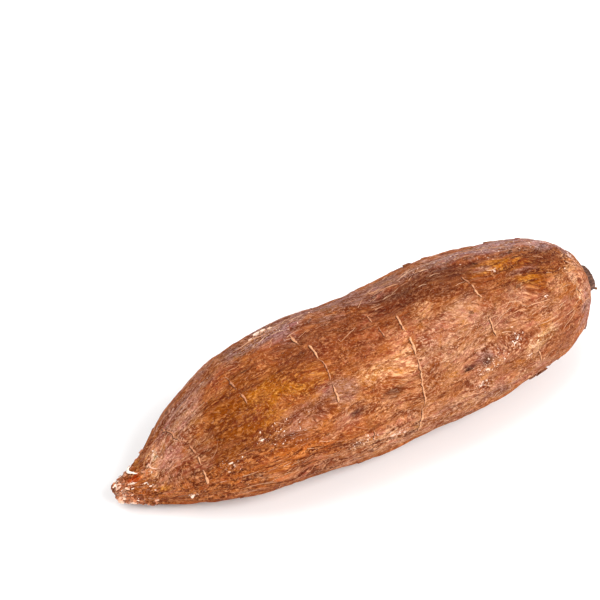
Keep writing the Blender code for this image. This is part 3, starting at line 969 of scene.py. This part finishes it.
def make_flakes(material):
    """Lifted flakes of bark, the named ones and a random scatter of small ones."""
    draw = np.random.default_rng(SEEDS["flakes"])
    rows = list(FLAKES)
    for count, low, high in FLAKE_BELTS:
        for _ in range(count):
            length = draw.uniform(*FLAKE_LENGTHS)
            rows.append((
                draw.uniform(*FLAKE_ENDS), draw.uniform(low, high), length,
                length * draw.uniform(*FLAKE_SLIMNESS), 0.04 + 0.36 * draw.random() ** 3,
                draw.uniform(*FLAKE_SHADES), draw.choice((-1, 1))))
    station, degrees, length, width, tilt, shade, rising = (np.array(column) for column in zip(*rows))
    angle = np.radians(degrees)
    frames = skin_frames(station, angle)
    points = frames[0]
    radius = sections_at(travel_at(station))[1]
    tints = stain_shade_and_sheen_colours(station, radius, angle) * shade[:, None]
    places = bark_space(station, angle, radius)
    pile = Pile()
    tint, space = [], []
    for i in np.nonzero(points[:, 2] > CLEAR_OF_FLOOR)[0]:
        lean = draw.normal(0.0, 0.35 if i >= len(FLAKES) else 0.1)
        point, forward, side, outward = turned_frame(frames, i, lean)
        shape, faces = chip_shape(
            draw, (point, forward, -rising[i] * side, outward), length[i], width[i], tilt[i], 0.12)
        pile.add(shape, faces, 0.5)
        tint.extend([tints[i]] * len(shape))
        space.extend((places[i] + shape - point).tolist())
    item = pile.build("bark_flakes", material, smooth=False)
    # The flakes take one fixed height for the painted shade of the relief
    add_bark(item, tint, space, raised=0.6, peeled=0.0, furrowed=0.0, frosted=0.0)


def make_crumbs(material):
    """Small white shards of rind and dried sap, in clusters and loose all over."""
    draw = np.random.default_rng(SEEDS["crumbs"])
    station, angle = scattered(draw, CRUMB_CLUSTERS)
    station = np.append(station, draw.uniform(*LOOSE_ENDS, LOOSE_CRUMBS))
    angle = np.append(angle, draw.uniform(0.0, math.tau, LOOSE_CRUMBS))
    loose = np.arange(len(station)) >= len(station) - LOOSE_CRUMBS
    frames = skin_frames(station, angle)
    pile = Pile()
    for i in np.nonzero(frames[0][:, 2] > CLEAR_OF_FLOOR)[0]:
        size = draw.uniform(*LOOSE_SIZES) if loose[i] else 0.35 + 0.9 * draw.random() ** 2
        frame_at = turned_frame(frames, i, draw.uniform(0.0, math.tau))
        shape, faces = chip_shape(
            draw, frame_at, size, size * draw.uniform(0.25, 0.6), draw.uniform(0.0, 0.5), 0.14, 5)
        pile.add(shape, faces, draw.uniform(*(LOOSE_SHADES if loose[i] else CRUMB_SHADES)))
    station, degrees = np.array(PALE_FLAKES).T[:2]
    for (*_, length, width, tilt, shade), *frame_at in zip(
            PALE_FLAKES, *skin_frames(station, np.radians(degrees))):
        shape, faces = chip_shape(draw, frame_at, length, width, tilt, 0.1, 9)
        pile.add(shape, faces, shade)
    pile.build("pale_crumbs", material, smooth=False)


def tube_along(path, radii, sides=4):
    """Rings of points about a path, one ring at each of its points."""
    heading = unit(np.gradient(path, axis=0))
    aside = unit(np.cross(heading, (0.13, 0.31, 0.94)))
    beside = np.cross(heading, aside)
    turns = np.arange(sides) * math.tau / sides
    ring = aside[:, None] * np.cos(turns)[None, :, None] + beside[:, None] * np.sin(turns)[None, :, None]
    return (path[:, None] + ring * np.asarray(radii)[:, None, None]).reshape(-1, 3)


def make_hairs(material):
    """Thin dry root hairs and fibres that lie close to the bark."""
    draw = np.random.default_rng(SEEDS["hairs"])
    starts, starting_angles = scattered(draw, HAIR_CLUSTERS)
    leans = np.concatenate([[row[5]] * row[4] for row in HAIR_CLUSTERS])
    count, rows = len(starts), HAIR_POINTS
    lean = np.radians(leans) + draw.normal(0.0, 0.22, count)
    bend = draw.normal(0.0, 0.03, count)
    length = draw.uniform(*HAIR_LENGTHS, count)
    station = np.empty((count, rows))
    angle = np.empty((count, rows))
    station[:, 0], angle[:, 0] = starts, starting_angles
    for row in range(1, rows):
        heading = lean + bend * row
        radius = sections_at(travel_at(station[:, row - 1]))[1]
        station[:, row] = station[:, row - 1] + np.cos(heading) * length / rows
        angle[:, row] = angle[:, row - 1] + np.sin(heading) * length / rows / np.maximum(radius, 5.0)
    station = np.clip(station, *HAIR_ENDS)
    points, _, _, outward = skin_frames(station.ravel(), angle.ravel())
    points = points.reshape(count, rows, 3)
    outward = outward.reshape(count, rows, 3)
    share = np.linspace(0.0, 1.0, rows)
    pile = Pile()
    for i in np.nonzero(points[:, :, 2].min(axis=1) > CLEAR_OF_FLOOR)[0]:
        lift = 0.1 + draw.uniform(0.0, 0.25) * np.sin(share * math.pi) ** 2
        path = points[i] + outward[i] * lift[:, None]
        radii = draw.uniform(*HAIR_RADII) * (1.0 - 0.6 * share)
        pile.add(tube_along(path, radii), tube_faces(rows, 4), draw.uniform(*HAIR_SHADES))
    for thickness, shade, *row in FIBRES:
        station, degrees = np.array(row).T
        step = np.linspace(0.0, len(row) - 1, 6 * len(row))
        known = np.arange(len(row))
        points, _, _, outward = skin_frames(
            np.interp(step, known, station), np.radians(np.interp(step, known, degrees)))
        path = points + 0.15 * outward
        path[1:-1] = (path[:-2] + path[1:-1] + path[2:]) / 3.0
        radii = thickness * (0.2 + 0.4 * np.sin(np.linspace(0.15, 2.9, len(step))))
        pile.add(tube_along(path, radii), tube_faces(len(step), 4), shade)
    pile.build("root_hairs", material)


def axis_frame(at, axis):
    """Place and axes of a turned shape: local Z runs along its axis."""
    z_axis = unit(np.array([axis]))[0]
    y_axis = unit(np.cross(z_axis, (0.0, 1.0, 0.0)))
    x_axis = np.cross(y_axis, z_axis)
    return np.array(at) + ORIGIN_SHIFT, x_axis, y_axis, z_axis


def turned_shape(profile, sides, roughness, seed):
    """Local points and faces of a rough turned shape that ends in one point at its middle."""
    profile = np.array(profile)
    known = np.arange(len(profile))
    steps = np.linspace(0, len(profile) - 1, 2 * len(profile) - 1)
    radius = np.repeat(np.interp(steps, known, profile[:, 0]), sides)
    height = np.repeat(np.interp(steps, known, profile[:, 1]), sides)
    turn = np.tile(np.arange(sides) * math.tau / sides, len(steps))
    rough = fractal_noise(
        np.column_stack([radius * np.cos(turn), radius * np.sin(turn), height * 0.5]) / 1.9, seed, 3)
    grooves = gradient_noise(
        np.column_stack([6.0 * np.cos(turn), 6.0 * np.sin(turn), height * 0.15]), seed)
    outside = np.linspace(1.0, 0.0, len(turn)) > 0.6
    radius = radius + roughness * (rough * 0.5 + grooves * outside)
    height = height + roughness * rough
    local = np.column_stack([radius * np.cos(turn), radius * np.sin(turn), height])
    middle = len(local)
    last = middle - sides
    faces = [tuple(reversed(range(sides)))] + ring_faces(len(steps), sides)
    for side in range(sides):
        faces.append((last + side, last + (side + 1) % sides, middle))
    return np.vstack([local, [[0.0, 0.0, height[-sides:].mean()]]]), faces


def set_in(local, frame_at):
    """Local points brought to their place."""
    at, x_axis, y_axis, z_axis = frame_at
    return at + local[:, :1] * x_axis + local[:, 1:2] * y_axis + local[:, 2:] * z_axis


def add_piece(name, points, faces, material, grain, shade):
    """A piece whose material reads a place in its own grain and a shade at each point."""
    item = new_mesh(name, points, faces, material)
    add_values(item, "grain", grain, "FLOAT_VECTOR")
    add_values(item, "shade", shade)
    place(item)


def make_stub(material):
    """The stub of the woody neck, cut and dried, its pith sunk below a ring of bark."""
    local, faces = turned_shape(STUB_PROFILE, STUB_SIDES, 0.14, SEEDS["stub"])
    local[:, 1] *= STUB_OVAL
    points = set_in(local, axis_frame(STUB_ANCHOR, STUB_AXIS))
    reach = np.hypot(local[:, 0], local[:, 1] / STUB_OVAL)
    inside = smooth_step(-reach, -4.9, -4.2) * smooth_step(local[:, 2], 1.0, 2.0)
    add_piece("neck_stub", points, faces, material, local, inside)


def make_peg(material):
    """A short twisted peg of torn wood on the stub's rim."""
    at, x_axis, y_axis, z_axis = axis_frame(STUB_ANCHOR, STUB_AXIS)
    foot = at + PEG_AT[0] * x_axis + PEG_AT[1] * y_axis + (PEG_AT[2] - PEG_SUNK) * z_axis
    lean = unit(z_axis - 0.8 * x_axis - 0.1 * y_axis)
    share = np.linspace(0.0, 1.0, PEG_POINTS)[:, None]
    path = foot + share * (PEG_LENGTH + PEG_SUNK) * lean + 0.25 * np.sin(share * 5.0) * x_axis
    radii = PEG_RADIUS * (1.0 - 0.35 * share[:, 0]) * (1.0 + 0.12 * np.sin(share[:, 0] * 17.0))
    points = tube_along(path, radii, PEG_SIDES)
    pale = np.repeat(0.55 * smooth_step(share[:, 0], 0.6, 0.9), PEG_SIDES)
    add_piece("torn_peg", points, tube_faces(PEG_POINTS, PEG_SIDES), material, points - foot, pale)


def make_torn_end(material):
    """The snapped thin end: crumbly flesh in a ragged rim."""
    local, faces = turned_shape(TORN_PROFILE, TORN_SIDES, 0.75, SEEDS["torn end"])
    points = set_in(local, axis_frame(TORN_AT, TORN_AXIS))
    points[:, 2] = np.maximum(points[:, 2], 0.0)
    ragged = fractal_noise(local / 2.6, SEEDS["torn flesh"], 3)
    pale = smooth_step(ragged + 0.35 * (local[:, 2] - 1.0), -0.5, 0.6)
    add_piece("torn_flesh", points, faces, material, local, pale)


def make_tip_shards(material):
    """Splinters, lumps and crumbs of bark and flesh about the torn end."""
    draw = np.random.default_rng(SEEDS["shards"])
    count, outermost, reach = SHARDS
    station = outermost + reach * draw.random(count) ** 1.9
    angle = draw.uniform(0.0, math.tau, count)
    length = draw.uniform(*SHARD_LENGTHS, count)
    pale = draw.random(count) < PALE_SHARDS
    shade = np.where(
        pale, draw.uniform(*PALE_SHARD_SHADES, count), draw.uniform(*SHARD_SHADES, count))
    lumps = np.array(TIP_LUMPS).T
    station = np.append(station, lumps[0])
    angle = np.append(angle, np.radians(lumps[1]))
    length = np.append(length, lumps[2])
    shade = np.append(shade, lumps[3])
    frames = skin_frames(np.maximum(station, SHARD_END), angle)
    away = np.hypot(station - TIP_HOLLOW[0], turn_between(angle, TIP_HOLLOW[1]) * TIP_HOLLOW_GIRTH)
    clear = (away > TIP_HOLLOW[2] + TIP_HOLLOW_MARGIN) & (frames[0][:, 2] > CLEAR_OF_FLOOR)
    pile = Pile()
    for i in np.nonzero(clear)[0]:
        frame_at = turned_frame(frames, i, draw.normal(0.0, 0.6))
        width = length[i] * draw.uniform(0.2, 0.6)
        shape, faces = chip_shape(draw, frame_at, length[i], width, draw.uniform(0.3, 1.0), 0.25, 6)
        shape[:, 2] = np.maximum(shape[:, 2], 0.0)
        pile.add(shape, faces, float(shade[i]))
    pile.build("tip_shards", material, smooth=False)


def make_tip_curl(material):
    """A white curl of broken bark above the hollow near the thin end, and the lips beside it."""
    pile = Pile()
    share = np.linspace(0.0, 1.0, STRIP_POINTS)
    bow = np.sin(share * math.pi)
    for station, run, bend, degrees, sweep, width, swell, lift, rise, thickness, shade in TORN_STRIPS:
        points, along, _, outward = skin_frames(
            station + run * share + bend * bow, np.radians(degrees + sweep * share))
        path = points + outward * (lift + rise * bow)[:, None]
        strip = ribbon(path, along, outward, width + swell * bow, thickness)
        pile.add(strip, tube_faces(STRIP_POINTS, 4), shade)
    pile.build("tip_curl", material)


class Graph:
    """A material's nodes, made one call at a time."""

    def __init__(self, name):
        self.material = bpy.data.materials.new(name)
        self.material.use_nodes = True
        self.tree = self.material.node_tree
        self.shader = self.tree.nodes["Principled BSDF"]

    def node(self, kind, inputs=(), **settings):
        """A node with its settings, its inputs linked or set by name or number."""
        made = self.tree.nodes.new(kind)
        for key, value in settings.items():
            setattr(made, key, value)
        for key, value in dict(inputs).items():
            self.feed(made.inputs[key], value)
        return made

    def feed(self, socket, value):
        """Link a socket to another, or give it a value."""
        if isinstance(value, bpy.types.NodeSocket):
            self.tree.links.new(value, socket)
        else:
            socket.default_value = value

    def attribute(self, name, output="Fac"):
        """A value stored on the mesh."""
        return self.node("ShaderNodeAttribute", attribute_name=name).outputs[output]

    def stretch(self, vector, scale, shift=(0.0, 0.0, 0.0)):
        """A vector scaled for each axis."""
        inputs = {"Vector": vector, "Scale": scale, "Location": shift}
        return self.node("ShaderNodeMapping", inputs).outputs["Vector"]

    def noise(self, vector, scale, detail, roughness, distortion=0.0, shift=(0.0, 0.0, 0.0)):
        """Noise from 0 to 1, scaled for each axis."""
        inputs = {"Vector": self.stretch(vector, scale, shift), "Scale": 1.0, "Detail": detail,
                  "Roughness": roughness, "Distortion": distortion}
        return self.node("ShaderNodeTexNoise", inputs).outputs["Fac"]

    def ramp(self, value, stops):
        """A colour ramp: places with greys or sRGB colours."""
        made = self.node("ShaderNodeValToRGB", {"Fac": value})
        elements = made.color_ramp.elements
        while len(elements) < len(stops):
            elements.new(0.5)
        for element, (spot, tone) in zip(elements, stops):
            element.position = spot
            element.color = (tone, tone, tone, 1.0) if isinstance(tone, float) else linear(tone)
        return made.outputs["Color"]

    def mix(self, share, first, second, mode="MIX"):
        """Two colours mixed."""
        made = self.node("ShaderNodeMix", data_type="RGBA", blend_type=mode)
        for key, value in zip((0, 6, 7), (share, first, second)):
            self.feed(made.inputs[key], value)
        return made.outputs[2]

    def tinted(self, colour, value, stops):
        """A colour multiplied by a ramp."""
        return self.mix(1.0, colour, self.ramp(value, stops), "MULTIPLY")

    def share(self, value, start, end, most):
        """0 where a value is at start, most where it is at end or beyond."""
        rising = [(start, 0.0), (end, 1.0)]
        falling = [(end, 1.0), (start, 0.0)]
        return self.math("MULTIPLY", self.ramp(value, rising if start < end else falling), most)

    def math(self, operation, first, second):
        """One sum."""
        return self.node("ShaderNodeMath", {0: first, 1: second}, operation=operation).outputs[0]

    def bump(self, height, strength, distance):
        """A normal bent by a height."""
        inputs = {"Height": height, "Strength": strength, "Distance": distance}
        return self.node("ShaderNodeBump", inputs).outputs["Normal"]

    def finish(self, colour, roughness, specular, normal=None):
        """Feed the shader and return the material."""
        self.feed(self.shader.inputs["Base Color"], colour)
        self.feed(self.shader.inputs["Roughness"], roughness)
        self.shader.inputs["Specular IOR Level"].default_value = specular
        if normal is not None:
            self.feed(self.shader.inputs["Normal"], normal)
        return self.material


def bark_material():
    """Dry streaked bark: stains, streaks, cracks, flecks and peeled plates, with painted shade in the
    creases of the relief.
    """
    graph = Graph("bark")
    space = graph.attribute("bark", "Vector")
    tint = graph.attribute("tint", "Color")

    streaks = graph.noise(space, (0.08, 0.55, 0.55), detail=4.0, roughness=0.6, distortion=0.5)
    strokes = graph.noise(space, (0.5, 1.0, 1.0), detail=4.0, roughness=0.75, distortion=0.6)
    cracks = graph.noise(
        space, (0.38, 0.85, 0.85), detail=4.0, roughness=0.75, distortion=0.6, shift=(40.0, 0.0, 0.0))
    mottle = graph.noise(space, (0.14, 0.2, 0.2), detail=5.0, roughness=0.65, distortion=0.3)
    hue = graph.noise(
        space, (0.13, 0.24, 0.24), detail=5.0, roughness=0.78, distortion=0.4, shift=(0.0, 70.0, 0.0))
    tone = graph.noise(
        space, (0.045, 0.09, 0.09), detail=3.0, roughness=0.55, distortion=0.4, shift=(0.0, 30.0, 0.0))
    grit = graph.noise(space, (1.1, 1.5, 1.5), detail=2.0, roughness=0.7)
    swirl = graph.node("ShaderNodeTexNoise", {"Vector": space, "Scale": 0.5, "Detail": 2.0})
    bent = graph.node(
        "ShaderNodeVectorMath", {0: space, 1: swirl.outputs["Color"], 2: (1.6, 1.6, 1.6)},
        operation="MULTIPLY_ADD").outputs["Vector"]
    scales = graph.node(
        "ShaderNodeTexVoronoi", {"Vector": graph.stretch(bent, (0.3, 0.75, 0.75)), "Scale": 1.0},
        feature="DISTANCE_TO_EDGE").outputs["Distance"]

    colour = graph.mix(graph.math("MULTIPLY", graph.attribute("peeled"), 0.2), tint, linear(TAN))
    for value, stops in (
        # Painted shade: darker in the creases of the fine relief, a little lighter on its ridges
        (graph.attribute("raised"), [(0.0, (196, 160, 132)), (0.45, 1.0), (1.0, 1.08)]),
        (streaks, [(0.32, (216, 184, 158)), (0.5, 1.0), (0.7, 1.14)]),
        (mottle, [(0.32, (212, 178, 152)), (0.5, 1.0), (0.7, 1.16)]),
        (hue, [(0.36, (255, 241, 176)), (0.5, 1.0), (0.64, (255, 232, 252))]),
        (tone, [(0.36, (255, 245, 202)), (0.5, 1.0), (0.64, (255, 240, 252))]),
        (scales, [(0.0, (204, 160, 126)), (0.16, 1.0)]),
    ):
        colour = graph.tinted(colour, value, stops)
    furrows = graph.math("MULTIPLY", graph.share(streaks, 0.52, 0.42, 0.9), graph.attribute("furrowed"))
    colour = graph.mix(furrows, colour, linear(FURROW))
    colour = graph.mix(graph.share(cracks, 0.48, 0.36, 0.78), colour, linear(CRACK))
    glow = graph.mix(1.0, tint, GLOW, "MULTIPLY")
    pale = graph.mix(0.13, glow, linear(CHALK))
    colour = graph.mix(graph.share(strokes, 0.5, 0.64, 0.85), colour, pale)
    frost = graph.math("ADD", grit, graph.math("MULTIPLY", graph.attribute("frosted"), 0.07))
    speck = graph.mix(0.55, glow, linear(FROST))
    colour = graph.mix(graph.share(frost, 0.6, 0.7, 0.3), colour, speck)
    colour = graph.mix(graph.share(grit, 0.41, 0.3, 0.3), colour, linear(PIT))

    height = graph.math("ADD", graph.math("MULTIPLY", strokes, 0.8), graph.math("MULTIPLY", grit, 0.5))
    height = graph.math("ADD", height, graph.math("MULTIPLY", cracks, 0.5))
    roughness = graph.ramp(mottle, [(0.3, 0.6), (0.7, 0.85)])
    return graph.finish(colour, roughness, 0.06, graph.bump(height, 1.0, 0.0009))


def shaded_material(name):
    """A dull material whose colour runs along each shape's own shade, broken up by noise."""
    stops, scale, contrast, roughness, relief = DULL_MATERIALS[name]
    graph = Graph(name)
    at = graph.node("ShaderNodeTexCoord").outputs["Object"]
    grit = graph.noise(at, (scale, scale, scale), detail=4.0, roughness=0.65)
    spread = graph.math("MULTIPLY", graph.math("SUBTRACT", grit, 0.5), contrast)
    colour = graph.ramp(graph.math("ADD", graph.attribute("shade"), spread), stops)
    return graph.finish(colour, roughness, 0.25, graph.bump(grit, 0.7, relief))


def neck_material():
    """Dark bark round pale, ringed and cracked wood."""
    graph = Graph("neck_wood")
    grain = graph.attribute("grain", "Vector")
    grit = graph.noise(grain, (1.1, 1.1, 0.35), detail=5.0, roughness=0.65, distortion=0.3)
    bark = graph.ramp(grit, [(0.3, (34, 18, 12)), (0.5, (84, 54, 42)), (0.72, (134, 96, 78))])
    wood = graph.ramp(grit, [(0.3, (112, 66, 38)), (0.5, (164, 112, 72)), (0.72, (204, 160, 118))])
    across = graph.stretch(grain, (0.2, 0.2, 0.0))
    flat = graph.node("ShaderNodeVectorMath", {0: across}, operation="LENGTH").outputs["Value"]
    reach = graph.math("ADD", flat, graph.math("MULTIPLY", grit, 0.3))
    ringed = graph.tinted(wood, reach, [
        (0.2, (150, 116, 96)), (0.34, 1.0), (0.52, 0.95), (0.58, 0.72), (0.64, 1.0), (0.86, 0.9),
        (0.92, 0.6)])
    colour = graph.mix(graph.attribute("shade"), bark, ringed)
    return graph.finish(colour, 0.75, 0.25, graph.bump(grit, 0.8, 0.0006))


def make_floor():
    """The plain white floor."""
    material = Graph("floor").finish((0.92, 0.92, 0.92, 1.0), 0.9, 0.1)
    corners = np.array([(-1.0, -1.0, 0.0), (1.0, -1.0, 0.0), (1.0, 1.0, 0.0), (-1.0, 1.0, 0.0)])
    floor = new_mesh("floor", corners * FLOOR_HALF / MM, [(0, 1, 2, 3)], material, smooth=False)


def make_world():
    """The bright room round the floor, white near the horizon and dimmer overhead."""
    world = bpy.data.worlds.new("studio")
    world.use_nodes = True
    nodes, links = world.node_tree.nodes, world.node_tree.links
    parts = nodes.new("ShaderNodeSeparateXYZ")
    links.new(nodes.new("ShaderNodeTexCoord").outputs["Generated"], parts.inputs[0])
    sky = nodes.new("ShaderNodeValToRGB")
    for stop, (position, brightness) in zip(sky.color_ramp.elements, SKY):
        stop.position = position
        stop.color = (brightness, brightness, brightness, 1.0)
    links.new(parts.outputs["Z"], sky.inputs["Fac"])
    links.new(sky.outputs["Color"], nodes["Background"].inputs["Color"])
    bpy.context.scene.world = world


def make_camera():
    """The camera, level from side to side, looking down on the root."""
    camera = bpy.data.objects.new("camera", bpy.data.cameras.new("camera"))
    turn, drop = math.radians(CAMERA_TURN), math.radians(CAMERA_DROP)
    ahead = Vector((math.sin(turn) * math.cos(drop), math.cos(turn) * math.cos(drop), -math.sin(drop)))
    camera.location = CAMERA_AT
    camera.rotation_euler = ahead.to_track_quat("-Z", "Y").to_euler()
    camera.data.lens = LENS
    camera.data.sensor_width = SENSOR
    camera.data.clip_start = 0.01
    bpy.context.scene.collection.objects.link(camera)
    bpy.context.scene.camera = camera
    bpy.context.scene.view_settings.view_transform = "Standard"


def add_light(name, heading_from, strength, spread):
    """A wide soft light, the same all over the floor."""
    light = bpy.data.lights.new(name, "SUN")
    light.energy = strength
    light.angle = math.radians(spread)
    item = bpy.data.objects.new(name, light)
    item.rotation_euler = (-heading_from).to_track_quat("-Z", "Y").to_euler()
    bpy.context.scene.collection.objects.link(item)


def main():
    """Dress the root and set the stage."""
    bark = bark_material()
    make_skin(bark)
    make_flakes(bark)
    make_scars(shaded_material("scar_cork_and_shadow"))
    make_crumbs(shaded_material("pale_rind"))
    make_hairs(shaded_material("dry_fibre"))
    neck = neck_material()
    make_stub(neck)
    make_peg(neck)
    flesh = shaded_material("torn_flesh")
    make_torn_end(flesh)
    make_tip_shards(flesh)
    make_tip_curl(flesh)
    make_floor()
    make_world()
    for name, heading_from, strength, spread in SOFT_LIGHTS:
        add_light(name, Vector(heading_from), strength, spread)
    make_camera()


main()
